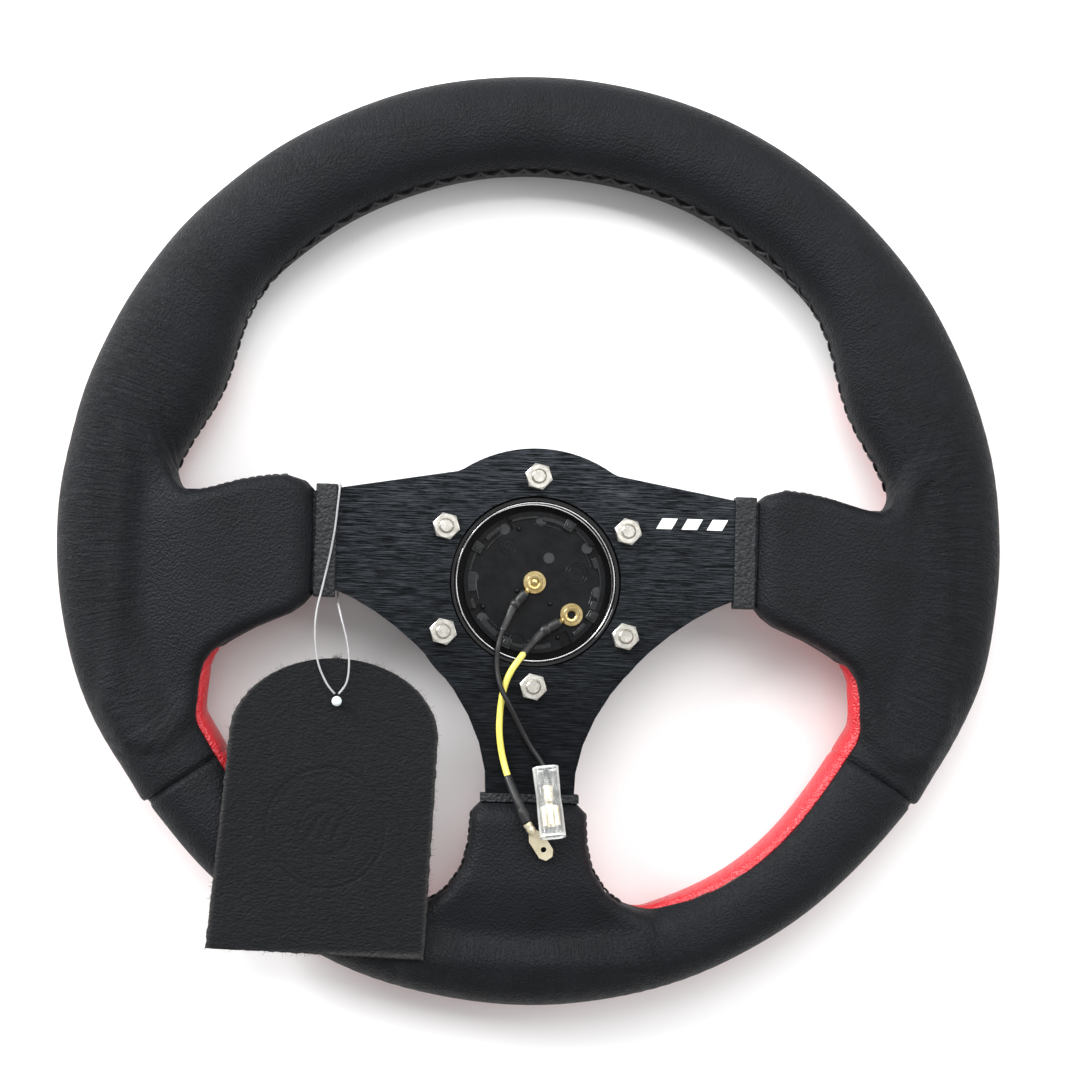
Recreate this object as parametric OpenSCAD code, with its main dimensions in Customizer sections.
// Six-bolt sport steering wheel, lying on its front face.
// Origin: centre of the bolt circle on the rear mounting face of the spoke plate.
// +Z points to the rear of the wheel (towards the steering column), +Y to the 12 o'clock mark.

/* [Rim] */
// Outer radius of the rim over the top and sides
rim_r = 160; // [150:1:175]
// Outer radius of the slimmer bottom of the rim
rim_bottom_r = 155.5; // [148:0.5:160]
// Height of the rim's centre above the bolt circle's centre
rim_offset_y = 14; // [0:1:20]
// Depth of the rim from front to rear
rim_depth = 30; // [24:1:32]
// Dish: distance from the mounting face forward to the rim's middle
rim_dish = 13; // [13:0.5:16]
// Thickness of the rim leather
leather_t = 1.2; // [0.8:0.1:1.6]
// Sharpness of the rim's section: 2 is an ellipse
section_power = 2.3; // [2:0.1:3]

/* [Spoke plate] */
// Thickness of the aluminium spoke plate
plate_t = 4; // [3:0.5:5]
// Radius of the hub's round top
hub_r = 44.7; // [43:0.1:48]
// Radius of the central bore
bore_r = 28.7; // [28:0.1:29]
// Width of the bottom spoke
bottom_spoke_w = 29.2; // [26:0.2:34]

/* [Bolt circle] */
// Number of bolts
bolt_count = 6; // [6:1:6]
// Pitch circle diameter of the bolts
bolt_pcd = 70; // [70:0.5:74]
// Thread radius of a bolt
bolt_r = 2.5; // [2.5:0.5:3]
// Width of a nut across its flats
nut_af = 8; // [8:0.5:9]

/* [Horn] */
// Travel of the horn button
horn_travel = 1.8; // [1:0.1:2]
// Radius of the horn housing's back
housing_r = 23.8; // [22:0.1:24.5]
// Number of active coils of the return spring
spring_coils = 4; // [3:1:5]

/* [Leads] */
// Diameter of the black lead
black_lead_d = 1.8; // [1.4:0.1:2.2]
// Diameter of the yellow lead
yellow_lead_d = 2.3; // [1.8:0.1:2.6]
// Width of the blade terminals
blade_w = 6.3; // [6.3:0.1:6.3]

/* [Hang tag] */
// Half the width of the tag at its round top
tag_half_w = 34.2; // [28:0.2:35]
// Thickness of the tag
tag_t = 1.8; // [1.2:0.1:2]
// Height of the tag's underside above the mounting face
tag_z = 2.5; // [2.4:0.1:3]

/* [Hidden] */

$fn = 96;
slack = 0.1;                 // gap between pieces that only lie against each other

// ---- rim geometry: a station angle runs anticlockwise from 12 o'clock, seen from the rear
rim_mid_z = -rim_dish;
station_step = 5;
arm_edge = 0.06;             // half of the step at the side of a spoke arm's way through
// inner edge of the rim: [angle from the top, radius], the same on both sides
inner_edge = [[0, 126], [50, 126], [55, 122.5], [60, 118.5], [65, 116.4], [70, 118],
              [75, 122], [80, 125], [86, 126], [112, 126], [130, 127], [180, 127.5]];
// outer edge: full radius down to the sides, then easing in to the slim bottom
outer_ease_start = 103;
outer_ease_end = 132;
split_angle = 124.5;         // where upper and lower leather meet
grip_split = 60;             // where the black top of the front leather ends
top_seam = 166.5;            // section angle of the inner seam above the boots
low_seam = 140;              // and of the same seam in the lower openings, higher up the wall
outer_seam = -20;            // section angle of the outer seam
seam_half = 1.6;             // half of the inner seam's groove, as a section angle
// where the spoke arms pass through the foam and leather, as station angles [from, to]
arm_pass = [[84, 101], [172.2, 187.8], [259, 276]];
core_in = 136;
core_out = 147;
core_top = -plate_t;
core_h = 10;
foam_gap = 0.2;

function fold(a) = let(b = (a % 360 + 360) % 360) b > 180 ? 360 - b : b;
function smooth(t) = let(u = min(1, max(0, t))) u * u * (3 - 2 * u);
function outer_at(a) = rim_r - (rim_r - rim_bottom_r)
    * smooth((fold(a) - outer_ease_start) / (outer_ease_end - outer_ease_start));
function inner_at(a) = lookup(fold(a), inner_edge);
half_depth = rim_depth / 2;
function in_arm(a, grow = 0) = let(b = (a % 360 + 360) % 360)
    max([for (p = arm_pass) b > p[0] - grow && b < p[1] + grow ? 1 : 0]) > 0;
function spow(v, p) = sign(v) * pow(abs(v), p);
function at_station(a, r, z) = [-r * sin(a), rim_offset_y + r * cos(a), z];
// a point of the rim's section, at section angle s and depth d under the leather's surface
function section_point(a, s, d) =
    let(mid = (outer_at(a) + inner_at(a)) / 2, w = (outer_at(a) - inner_at(a)) / 2 - d,
        h = half_depth - d, p = 2 / section_power)
    at_station(a, mid + w * spow(cos(s), p), rim_mid_z + h * spow(sin(s), p));
// section angle on the inner wall at height z
function wall_angle(a, z, d) = 180 - asin(pow((z - rim_mid_z) / (half_depth - d), section_power / 2));

// stations from a0 to a1, with extra ones either side of each spoke arm
function steps(a0, a1) = let(n = ceil((a1 - a0) / station_step)) [for (i = [0:n]) a0 + (a1 - a0) * i / n];
function edges(a0, a1) = [for (p = arm_pass, q = [p[0] - arm_edge, p[0] + arm_edge, p[1] - arm_edge, p[1] + arm_edge])
    if (q > a0 + 0.4 && q < a1 - 0.4) q];
function sorted(v) = len(v) <= 1 ? v : let(m = v[floor(len(v) / 2)])
    concat(sorted([for (x = v) if (x < m) x]), [for (x = v) if (x == m) x], sorted([for (x = v) if (x > m) x]));
function apart(v, gap) = [for (i = [0:len(v) - 1]) if (i == 0 || v[i] - v[i - 1] > gap) v[i]];
function stations(a0, a1) = apart(sorted(concat(steps(a0, a1), edges(a0, a1))), arm_edge);

// skin a list of rings, each with the same number of points; closed joins the last to the first
module skin(rings, closed = false) {
    n = len(rings[0]);
    m = len(rings);
    last = closed ? m - 1 : m - 2;
    walls = [for (i = [0:last], j = [0:n - 1])
        let(p = i * n, q = ((i + 1) % m) * n, k = (j + 1) % n) each [[p + j, p + k, q + k], [p + j, q + k, q + j]]];
    caps = closed ? [] : [[for (j = [n - 1:-1:0]) j], [for (j = [0:n - 1]) (m - 1) * n + j]];
    polyhedron(points = [for (r = rings) each r], faces = concat(walls, caps), convexity = 10);
}

// a strip of leather between station angles a0 and a1 and section angles from s0(a) to s1(a)
function strip_ring(a, s0, s1, k) = concat(
    [for (i = [0:k]) section_point(a, s0 + (s1 - s0) * i / k, 0)],
    [for (i = [k:-1:0]) section_point(a, s0 + (s1 - s0) * i / k, leather_t)]);
function seam_at(a) = top_seam + (low_seam - top_seam) * smooth((fold(a) - 84) / 34);
function rear_end(a) = in_arm(a) ? 106 : seam_at(a) - seam_half;
function front_start(a) = in_arm(a) ? 151 : seam_at(a) + seam_half;
module rear_strip(a0, a1) {
    skin([for (a = stations(a0, a1)) strip_ring(a, outer_seam + 0.6, rear_end(a), 11)]);
}
module front_strip(a0, a1) {
    skin([for (a = stations(a0, a1)) strip_ring(a, front_start(a), 360 + outer_seam - 0.6, 11)]);
}
seam_a = 0.1;                // half of a butted seam, as a station angle

// ---- section of the foam: open to the inner side by a slit that the spoke arms pass through
under_leather = 0.3;         // gap between the foam and the leather, which lie against each other in flat facets
foam_d = leather_t + under_leather;
cavity_bottom = core_top - core_h - foam_gap;
slit_low = core_top - 0.2;
function slit_top(a) = in_arm(a) ? 0.2 : core_top + 0.15;
foam_k = 17;
function foam_ring(a) =
    let(low = wall_angle(a, slit_low, foam_d), high = 360 + wall_angle(a, slit_top(a), foam_d))
    concat([for (i = [0:foam_k]) section_point(a, low + (high - low) * i / foam_k, foam_d)],
           [at_station(a, core_out + foam_gap, slit_top(a)), at_station(a, core_out + foam_gap, cavity_bottom),
            at_station(a, core_in - foam_gap, cavity_bottom), at_station(a, core_in - foam_gap, slit_low)]);

// ---- spoke plate outline
collar_x = 66.5;             // where the side collars start
collar_w = 7;
bottom_collar_w = 2.6;
spoke_top_y = 29.3;
spoke_low_y = -4.6;
spoke_end_y = -73;
arm_x = 74;
arm_angles = [5, -10];       // side arms, from the horizontal through the rim's centre
bottom_arm_half = 7;
fillet_x = 27;
fillet_y = 36.2;
lower_curve = [[collar_x, spoke_low_y], [46, -12], [12.6, -40], [bottom_spoke_w / 2, spoke_end_y]];
function bezier(p, t) = p[0] * pow(1 - t, 3) + p[1] * 3 * t * pow(1 - t, 2) + p[2] * 3 * t * t * (1 - t)
    + p[3] * pow(t, 3);
function polar(r, b) = [r * cos(b), rim_offset_y + r * sin(b)];
function mirrored(v) = [for (i = [len(v) - 1:-1:0]) [-v[i][0], v[i][1]]];
half_plate = concat(
    [for (b = [88:-4:56]) [hub_r * cos(b), hub_r * sin(b)]],
    [[fillet_x, fillet_y], [collar_x, spoke_top_y], [collar_x + collar_w, spoke_top_y - 1.2]],
    [for (b = [arm_angles[0]:-3:arm_angles[1]]) polar(core_out, b)],
    [[arm_x, spoke_low_y - 0.5]],
    [for (t = [0:0.1:1]) bezier(lower_curve, t)],
    [[12, spoke_end_y - 1]],
    [for (b = [-90 + bottom_arm_half:-3.5:-90]) polar(core_out, b)]);
module plate_outline() {
    polygon(concat(half_plate, mirrored(half_plate)));
}
module bolt_places() {
    for (i = [0:bolt_count - 1]) rotate(90 + i * 360 / bolt_count) translate([bolt_pcd / 2, 0, 0]) children();
}
module ring(r_in, r_out, z0, z1) {
    translate([0, 0, z0]) difference() {
        cylinder(r = r_out, h = z1 - z0);
        translate([0, 0, -1]) cylinder(r = r_in, h = z1 - z0 + 2);
    }
}

rivet_r = 2.5;
rivet_mid = (core_in + core_out) / 2;
rivet_angles = [1.5, -6.5, -86.5, -93.5, 178.5, 186.5];
module rivet_places() {
    for (b = rivet_angles) translate([rivet_mid * cos(b), rim_offset_y + rivet_mid * sin(b), 0]) children();
}
fit = 0.04;                  // radial clearance of bolts, rivets and nuts in their bores
bolt_hole_r = 2.65;

module spoke_plate() {
    color("#17181a") difference() {
        translate([0, 0, -plate_t]) linear_extrude(plate_t) plate_outline();
        translate([0, 0, -plate_t - 1]) cylinder(r = bore_r, h = plate_t + 2);
        bolt_places() translate([0, 0, -plate_t - 1]) cylinder(r = bolt_hole_r, h = plate_t + 2, $fn = 48);
        rivet_places() translate([0, 0, -plate_t - 1]) cylinder(r = rivet_r + fit, h = plate_t + 2, $fn = 48);
    }
}

module rim_core() {
    bevel = 1;
    color("#9a9da1") difference() {
        translate([0, rim_offset_y, core_top - core_h]) rotate_extrude() polygon([
            [core_in + bevel, 0], [core_out - bevel, 0], [core_out, bevel], [core_out, core_h],
            [core_in, core_h], [core_in, bevel]]);
        rivet_places() translate([0, 0, core_top - core_h - 1])
            cylinder(r = rivet_r + fit, h = core_h + 2, $fn = 48);
    }
}

module spoke_rivets() {
    color("#b9bcc0") rivet_places() translate([0, 0, core_top - core_h])
        cylinder(r = rivet_r, h = core_h + plate_t, $fn = 48);
}

module rim_foam() {
    color("#3b3b3d") skin([for (a = stations(0, 359)) foam_ring(a)], closed = true);
}

module upper_rear_leather() {
    color("#232629") rear_strip(-split_angle + seam_a, split_angle - seam_a);
}
module lower_rear_leather() {
    color("#232629") rear_strip(split_angle + seam_a, 360 - split_angle - seam_a);
}
module upper_front_leather() {
    color("#232629") front_strip(-grip_split + seam_a, grip_split - seam_a);
}
module left_front_leather() {
    color("#c81e28") front_strip(grip_split + seam_a, split_angle - seam_a);
}
module right_front_leather() {
    color("#c81e28") front_strip(360 - split_angle + seam_a, 360 - grip_split - seam_a);
}
module lower_front_leather() {
    color("#c81e28") front_strip(split_angle + seam_a, 360 - split_angle - seam_a);
}

// ---- seam thread, laid in the groove of the inner seam between the boots
thread_r = 0.3;
thread_end = 76;
function seam_point(a) = section_point(a, seam_at(a), 0.3);
module rim_stitching() {
    color("#101112") tube([for (a = steps(-thread_end, thread_end)) seam_point(a)], thread_r, 6);
}

// ---- tubes swept along a route
function unit(v) = v / norm(v);
tube_ref = [1, 0.15, -0.1];
function tangent(p, i) = unit(p[min(i + 1, len(p) - 1)] - p[max(i - 1, 0)]);
function tube_ring(p, i, r, sides) =
    let(t = tangent(p, i), ref = abs(t * unit(tube_ref)) > 0.97 ? [0, 0, 1] : tube_ref,
        u = unit(cross(t, ref)), v = cross(t, u))
    [for (j = [0:sides - 1]) let(b = 360 * j / sides) p[i] + r * (cos(b) * u - sin(b) * v)];
module tube(p, r, sides = 8) {
    skin([for (i = [0:len(p) - 1]) tube_ring(p, i, r, sides)]);
}
// a hollow tube over the same route
module sheath(p, r_in, r_out, sides = 8) {
    m = len(p);
    rings = [for (i = [0:m - 1]) concat(tube_ring(p, i, r_out, sides), tube_ring(p, i, r_in, sides))];
    n = 2 * sides;
    outer = [for (i = [0:m - 2], j = [0:sides - 1]) let(k = (j + 1) % sides, a = i * n, b = (i + 1) * n)
        each [[a + j, a + k, b + k], [a + j, b + k, b + j]]];
    inner = [for (f = outer) [f[2] + sides, f[1] + sides, f[0] + sides]];
    end = (m - 1) * n;
    rims = [for (j = [0:sides - 1]) let(k = (j + 1) % sides, s = sides)
        each [[j, s + j, s + k, k], [end + j, end + k, end + s + k, end + s + j]]];
    polyhedron(points = [for (r = rings) each r], faces = concat(outer, inner, rims), convexity = 6);
}
// a smooth curve through points, with cuts pieces to each span
function spline_at(p, i, t) =
    let(n = len(p) - 1, a = p[max(i - 1, 0)], b = p[i], c = p[i + 1], d = p[min(i + 2, n)])
    0.5 * (2 * b + (c - a) * t + (2 * a - 5 * b + 4 * c - d) * t * t + (3 * b - a - 3 * c + d) * t * t * t);
function spline(p, cuts) = concat(
    [for (i = [0:len(p) - 2], k = [0:cuts - 1]) spline_at(p, i, k / cuts)], [p[len(p) - 1]]);
function part_of(p, i0, i1) = [for (i = [i0:i1]) p[i]];

// ---- leather-covered boots over the spokes
boot_top = 5.5;
boot_bottom = -11;
boot_end_r = 125.6;
side_boot = concat(
    [[arm_x, 31.4], [83.5, 33.3], [99, 31], [109.7, 27.3], [117, 26.5], [121, 29]],
    [for (b = [7:-4:-25]) polar(boot_end_r, b)],
    [[112.3, -40], [110, -36], [108.6, -29], [102, -21.7], [92, -16.7], [81, -12], [arm_x, -8]]);
bottom_boot_half = concat(
    [[15.4, -73.6], [18.8, -76.5], [19.5, -87], [21.5, -95], [26.5, -102.5], [28.8, -104.8]],
    [for (b = [-77:-6.5:-90]) polar(boot_end_r + 1, b)]);
module plate_pocket(grow) {
    translate([0, 0, -plate_t - grow]) linear_extrude(plate_t + 2 * grow) offset(delta = grow) plate_outline();
}
module boot(outline) {
    difference() {
        translate([0, 0, boot_bottom]) linear_extrude(boot_top - boot_bottom) polygon(outline);
        plate_pocket(slack);
    }
}
module right_boot() {
    color("#232629") boot(side_boot);
}
module left_boot() {
    color("#232629") mirror([1, 0, 0]) boot(side_boot);
}
module bottom_boot() {
    color("#232629") boot(concat(bottom_boot_half, mirrored(bottom_boot_half)));
}

// ---- collars: leather strips wrapped round the spokes at the mouths of the boots
collar_t = 1.2;
module side_collar() {
    x0 = collar_x + slack;
    x1 = collar_x + collar_w + 0.3;
    y_top = spoke_top_y + slack;
    y_low = spoke_low_y - 1.3;
    top = plate_t + 2 * (slack + collar_t);
    difference() {
        translate([0, 0, -plate_t - slack - collar_t]) linear_extrude(top)
            polygon([[x0, y_top + collar_t], [x1, y_top], [x1, y_low - collar_t], [x0, y_low - collar_t]]);
        translate([0, 0, -plate_t - slack]) linear_extrude(plate_t + 2 * slack)
            polygon([[x0 - 1, y_top + 0.1], [x1 + 1, y_top - 1.1], [x1 + 1, y_low], [x0 - 1, y_low]]);
    }
}
module right_collar() {
    color("#1b1d1f") side_collar();
}
module left_collar() {
    color("#1b1d1f") mirror([1, 0, 0]) side_collar();
}
module bottom_collar() {
    half = bottom_spoke_w / 2 + 0.6;
    y0 = spoke_end_y - 0.3;
    y1 = spoke_end_y + bottom_collar_w;
    color("#1b1d1f") difference() {
        translate([-half - collar_t, y0, -plate_t - slack - collar_t])
            cube([2 * (half + collar_t), y1 - y0, plate_t + 2 * (slack + collar_t)]);
        plate_pocket(slack);
    }
}

// ---- front trim ring, bolts and nuts
trim_t = 3.5;
trim_front = -plate_t - trim_t;
head_r = 4.7;
head_h = 2.2;
module front_trim_ring() {
    bevel = 0.8;
    color("#141516") difference() {
        translate([0, 0, trim_front]) rotate_extrude() polygon([
            [bore_r + 0.5, bevel], [bore_r + 0.5 + bevel, 0], [hub_r - 0.7 - bevel, 0], [hub_r - 0.7, bevel],
            [hub_r - 0.7, trim_t - slack / 2], [bore_r + 0.5, trim_t - slack / 2]]);
        bolt_places() translate([0, 0, trim_front - 1]) cylinder(r = bolt_hole_r, h = trim_t + 2, $fn = 48);
        bolt_places() translate([0, 0, trim_front - 0.01])
            cylinder(r1 = head_r + 0.1, r2 = bolt_hole_r, h = head_h, $fn = 48);
    }
}
nut_h = 4;
tip_r = 2.1;
tip_end = 5.2;
bolt_start = trim_front + 0.1;
module bolt() {
    difference() {
        rotate_extrude($fn = 48) polygon([
            [0, bolt_start], [head_r - 0.2, bolt_start], [bolt_r, bolt_start + head_h - 0.2], [bolt_r, nut_h - 0.3],
            [tip_r, nut_h], [tip_r, tip_end - 0.2], [tip_r - 0.2, tip_end], [0, tip_end]]);
        translate([0, 0, bolt_start - 1]) cylinder(r = 1.7, h = 2.6, $fn = 6);
    }
}
module mount_bolts() {
    color("#cfcdc6") bolt_places() bolt();
}
module nut() {
    corner_r = nut_af / 2 / cos(30);
    difference() {
        intersection() {
            cylinder(r = corner_r, h = nut_h, $fn = 6);
            rotate_extrude($fn = 48) polygon([
                [0, 0], [corner_r + 0.1, 0], [corner_r + 0.1, nut_h - 0.7], [corner_r - 0.8, nut_h], [0, nut_h]]);
        }
        translate([0, 0, -1]) cylinder(r = bolt_r + fit, h = nut_h + 2, $fn = 48);
    }
}
module mount_nuts() {
    color("#d8d5cd") bolt_places() rotate(17) nut();
}

// ---- horn button
bezel_in = 26.8;
bezel_front = -11;
module horn_bezel() {
    color("#060607") rotate_extrude() polygon([
        [bezel_in, -1.6], [bezel_in + 0.6, -1.2], [bore_r - 0.6, -1.2], [bore_r - 0.2, -1.6],
        [bore_r - 0.2, trim_front - 0.1], [33.5, trim_front - 0.1], [34, trim_front - 0.6],
        [34, bezel_front + 1], [33, bezel_front], [bezel_in, bezel_front]]);
}
back_z = -6;                 // rear face of the housing's back
back_t = 2.5;
flange_front = -14;
module horn_housing() {
    window_angles = [29, 119, 209, 299];
    color("#101112") difference() {
        union() {
            ring(0.001, housing_r, back_z - back_t, back_z);
            ring(housing_r - 1.4, housing_r, back_z - 0.1, back_z + 1);
            ring(housing_r - 1.8, housing_r, flange_front, back_z - back_t + 0.1);
            ring(housing_r - 1.8, bezel_in - 0.15, flange_front, flange_front + 1.5);
        }
        for (b = window_angles) rotate(b) translate([housing_r - 4.6, -2, back_z - 1.2]) cube([6, 4, 3]);
        translate([0, 0, -20]) cylinder(r = pin_r + fit, h = 20, $fn = 32);
        translate([offset_x, offset_y, -20]) cylinder(r = pin_r + fit, h = 20, $fn = 32);
    }
}
// the two contact rivets: one in the middle, one beside it
pin_r = 1.5;
offset_x = 12.7;
offset_y = -10.5;
module contact_rivets() {
    color("#c9a24a") {
        translate([0, 0, -9.3]) cylinder(r = pin_r, h = 4.6, $fn = 32);
        translate([offset_x, offset_y, -9.3]) difference() {
            cylinder(r = pin_r, h = 4.6, $fn = 32);
            translate([0, 0, 1.5]) cylinder(r = 1, h = 4, $fn = 32);
        }
    }
}
cap_r = 26.3;
cap_front = -22;
skirt_end = -16.3;
boss_in = 17;
boss_out = 19;
moving_z = -11.1;
contact_t = 0.5;
module horn_cap() {
    color("#0a0a0b") {
        rotate_extrude() polygon([
            [0, cap_front], [12, cap_front + 0.25], [20, cap_front + 0.9], [24.5, cap_front + 1.9],
            [cap_r, cap_front + 3.2], [cap_r, skirt_end], [cap_r - 1.6, skirt_end],
            [cap_r - 1.6, cap_front + 3.8], [boss_out, cap_front + 3], [boss_out, moving_z - contact_t - 0.02],
            [boss_in, moving_z - contact_t - 0.02], [boss_in, cap_front + 2.6], [0, cap_front + 2.4]]);
    }
}
module moving_contact() {
    color("#d9b65a") ring(13, boss_out, moving_z - contact_t, moving_z);
}
module fixed_contact() {
    color("#d9b65a") difference() {
        ring(12.5, 18.5, back_z - back_t - 0.02 - contact_t, back_z - back_t - 0.02);
        translate([offset_x, offset_y, -12]) cylinder(r = pin_r + fit, h = 6, $fn = 32);
    }
}
spring_r = 7.5;
spring_wire = 0.8;
spring_top = back_z - back_t - 0.1;
spring_base = cap_front + 2.7;
module horn_spring() {
    rise = spring_top - spring_base - spring_wire;
    n = spring_coils * 14;
    color("#b5b8bc") tube_upright([for (i = [0:n]) let(b = 360 * i / 14)
        [spring_r * cos(b), spring_r * sin(b), spring_base + spring_wire / 2 + rise * i / n]]);
}
module tube_upright(p) {
    skin([for (i = [0:len(p) - 1]) let(t = tangent(p, i), u = unit(cross(t, [0, 0, 1])), v = cross(t, u))
        [for (j = [0:7]) p[i] + spring_wire / 2 * (cos(45 * j) * u - sin(45 * j) * v)]]);
}

// ---- ring lugs, their sleeves and the two leads
lug_z = -5.3;                // middle of a lug's ring
lug_r = 3.85;
barrel_z = -4;
barrel_r = 1.1;
barrel_from = 3.5;
barrel_to = 8;
sleeve_from = 4.4;
sleeve_to = 11;
sleeve_r = 1.6;
centre_dir = 231;
offset_dir = 213;
module lug(x, y, dir) {
    translate([x, y, 0]) {
        ring(pin_r + 0.05, lug_r, lug_z - 0.4, lug_z + 0.4);
        rotate(dir) translate([lug_r - 0.8, -0.9, lug_z - 0.4]) cube([1.6, 1.8, 1.2]);
        rotate(dir) translate([barrel_from + 0.4, 0, barrel_z]) rotate([0, 90, 0])
            cylinder(r = barrel_r, h = barrel_to - barrel_from - 0.4, $fn = 32);
    }
}
module lug_sleeve(x, y, dir) {
    translate([x, y, 0]) rotate(dir) translate([sleeve_from + 0.6, 0, barrel_z]) rotate([0, 90, 0]) difference() {
        cylinder(r = sleeve_r, h = sleeve_to - sleeve_from - 0.6, $fn = 32);
        translate([0, 0, -1]) cylinder(r = barrel_r + 0.1, h = sleeve_to, $fn = 32);
    }
}
module centre_lug() {
    color("#cda349") lug(0, 0, centre_dir);
}
module offset_lug() {
    color("#cda349") lug(offset_x, offset_y, offset_dir);
}
module centre_lug_sleeve() {
    color("#121314") lug_sleeve(0, 0, centre_dir);
}
module offset_lug_sleeve() {
    color("#121314") lug_sleeve(offset_x, offset_y, offset_dir);
}
function from_lug(x, y, dir, d) = [x + d * cos(dir), y + d * sin(dir), barrel_z];
black_route = concat([from_lug(0, 0, centre_dir, barrel_to), from_lug(0, 0, centre_dir, sleeve_to)], [
    [-8.6, -12.5, -2.8], [-10.6, -17, -0.8], [-11.8, -21.5, 0.9], [-12.2, -26, 1.2], [-11.9, -30.5, 1.8],
    [-10.7, -35.5, 3.2], [-8.4, -40, 3.9], [-5.4, -45.5, 2.8], [-2.4, -51, 1.6], [0.4, -55.5, 1.8],
    [3, -59, 2.8], [4.9, -62.5, 4.2], [5.2, -65, 5.2]]);
yellow_route = concat([from_lug(offset_x, offset_y, offset_dir, barrel_to),
    from_lug(offset_x, offset_y, offset_dir, sleeve_to)], [
    [0.6, -19.4, -2.8], [-2.2, -22.6, -0.6], [-4.6, -25.8, 1], [-7.4, -30, 1.3], [-9.4, -35, 1.3], [-10.3, -40, 1.3],
    [-10.7, -45, 1.3], [-10.7, -50, 1.3], [-10.1, -55, 1.4], [-9, -60, 1.8], [-7.6, -64.5, 3], [-5.8, -69, 5.2],
    [-4, -73, 7], [-2.4, -76.5, 7.8], [-1.2, -79.2, 8]]);
cuts = 2;
black_path = spline(black_route, cuts);
yellow_path = spline(yellow_route, cuts);
module black_lead() {
    color("#141516") tube(black_path, black_lead_d / 2);
}
module yellow_lead() {
    color("#f0dc4a") tube(yellow_path, yellow_lead_d / 2 - 0.15);
}
shrink_in = yellow_lead_d / 2 - 0.1;
shrink_out = yellow_lead_d / 2 + 0.2;
module yellow_lead_upper_shrink() {
    color("#121314") sheath(part_of(yellow_path, 3, 8), shrink_in, shrink_out);
}
module yellow_lead_lower_shrink() {
    color("#121314") sheath(part_of(yellow_path, 24, 32), shrink_in, shrink_out);
}

// ---- blade terminals on the leads
// places children with local +Z along the line from p to q and local Y level
module along(p, q) {
    d = q - p;
    translate(p) rotate([0, acos(d[2] / norm(d)), atan2(d[1], d[0])]) children();
}
module stadium(w, t) {
    square([t, w - t], center = true);
    for (s = [-1, 1]) translate([0, s * (w - t) / 2]) circle(d = t, $fn = 32);
}
cover_start = [4.7, -61.5, 3.9];
cover_end = [7.3, -83.6, 12.4];
cover_w = 8.6;
cover_t = 5;
cover_wall = 0.5;
cover_len = norm(cover_end - cover_start);
module receptacle_cover() {
    color("#e8ecee", 0.45) along(cover_start, cover_end) difference() {
        linear_extrude(cover_len) stadium(cover_w, cover_t);
        translate([0, 0, -1]) linear_extrude(cover_len + 2) stadium(cover_w - 2 * cover_wall, cover_t - 2 * cover_wall);
    }
}
module blade_receptacle() {
    body_from = 12;
    body_to = 20;
    color("#d6c9a4") along(cover_start, cover_end) difference() {
        union() {
            translate([-1.2, -3.4, body_from]) cube([2.4, 6.8, body_to - body_from]);
            translate([0, 0, 5]) cylinder(r = 1.6, h = body_from - 4.5, $fn = 32);
        }
        translate([-0.45, -blade_w / 2 - 0.1, body_from + 0.8]) cube([0.9, blade_w + 0.2, body_to]);
        translate([0, 0, 4]) cylinder(r = black_lead_d / 2 + 0.25, h = 5, $fn = 32);
    }
}
tab_start = [-0.6, -80.3, 7.9];
tab_dir = -52;
tab_len = 13;
tab_hole_r = 0.9;
module blade_tab() {
    blade_t = 0.8;
    tip = 2;
    color("#d9cfae") translate(tab_start) rotate(tab_dir) difference() {
        union() {
            translate([-1, 0, 0]) rotate([0, 90, 0]) cylinder(r = 1.4, h = 4.5, $fn = 32);
            translate([3, 0, -1.4]) linear_extrude(blade_t) polygon([
                [-2, -1.2], [0, -2], [1, -blade_w / 2], [tab_len - 3 - tip, -blade_w / 2], [tab_len - 3, -1.6],
                [tab_len - 3, 1.6], [tab_len - 3 - tip, blade_w / 2], [1, blade_w / 2], [0, 2], [-2, 1.2]]);
        }
        translate([9.4, 0, -3]) cylinder(r = tab_hole_r, h = 4, $fn = 32);
    }
}

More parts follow.
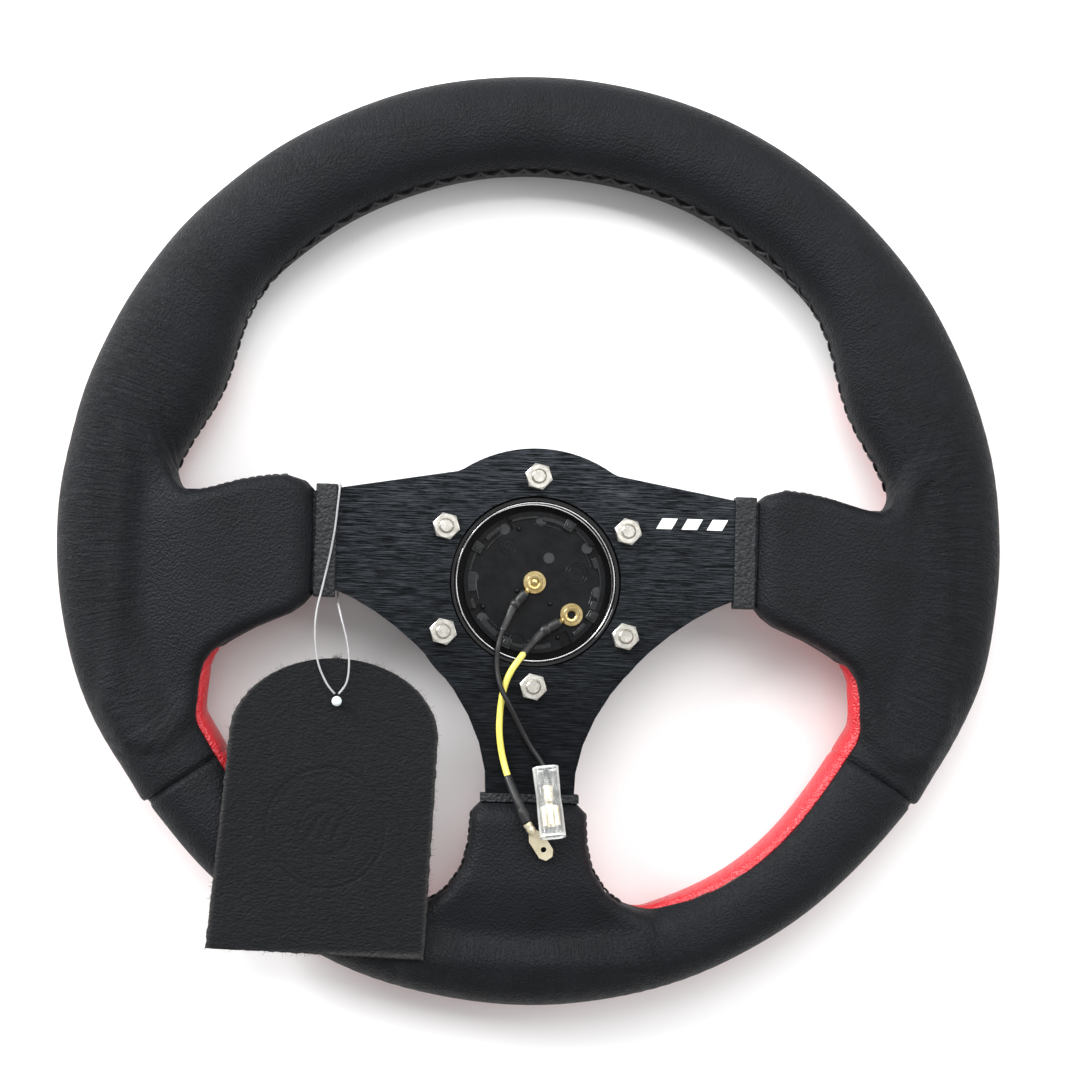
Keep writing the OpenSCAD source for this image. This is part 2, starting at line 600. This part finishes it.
// ---- hang tag
tag_mid_x = -65.1;
tag_dome_y = -53.4;
tag_dome_h = 26;
tag_hole_x = -64.5;
tag_hole_y = -41.4;
bead_r = 1.7;
bead_z = tag_z + tag_t + bead_r + 0.05;
module tag_leather() {
    color("#26292b") difference() {
        translate([0, 0, tag_z]) linear_extrude(tag_t) polygon(concat(
            [for (b = [0:7.5:180]) [tag_mid_x + tag_half_w * cos(b), tag_dome_y + tag_dome_h * sin(b)]],
            [[-104.4, -122.4], [-33.4, -125.2]]));
        translate([tag_hole_x, tag_hole_y, tag_z - 1]) cylinder(r = 1.4, h = tag_t + 2, $fn = 32);
    }
}
module tag_bead() {
    color("#f1f1ee") translate([tag_hole_x, tag_hole_y, bead_z]) sphere(r = bead_r, $fn = 32);
}
loop_r = 0.35;
loop_route = [
    [-65.2, -39, 6.4], [-68, -35.6, 6.6], [-71, -29, 5.8], [-72.4, -20, 4.6], [-72.2, -12, 3.4],
    [-70.6, -4, 2.4], [-68.6, 6, 2], [-67.2, 15, 1.9], [-66.4, 24, 1.9], [-66, 29, 1.4], [-65.9, 30.6, -0.6],
    [-65.9, 30.6, -3.4], [-65.9, 28.5, -4.9], [-65.9, 20, -5], [-65.8, 8, -5], [-65.7, -4, -5],
    [-65.6, -7.8, -4.4], [-65.5, -9, -2.4], [-65.2, -9.8, 0.2], [-64, -14, 2.4], [-62, -21, 4.6],
    [-60.9, -28, 6], [-61.4, -35, 6.8], [-63.9, -39, 6.6]];
module tag_loop() {
    color("#eceff0") tube(spline(loop_route, 3), loop_r, 6);
}

spoke_plate();
rim_core();
spoke_rivets();
rim_foam();
upper_rear_leather();
lower_rear_leather();
upper_front_leather();
left_front_leather();
right_front_leather();
lower_front_leather();
rim_stitching();
left_boot();
right_boot();
bottom_boot();
left_collar();
right_collar();
bottom_collar();
front_trim_ring();
mount_bolts();
mount_nuts();
horn_bezel();
horn_housing();
horn_cap();
horn_spring();
fixed_contact();
moving_contact();
contact_rivets();
centre_lug();
offset_lug();
centre_lug_sleeve();
offset_lug_sleeve();
black_lead();
yellow_lead();
yellow_lead_upper_shrink();
yellow_lead_lower_shrink();
blade_receptacle();
receptacle_cover();
blade_tab();
tag_leather();
tag_loop();
tag_bead();
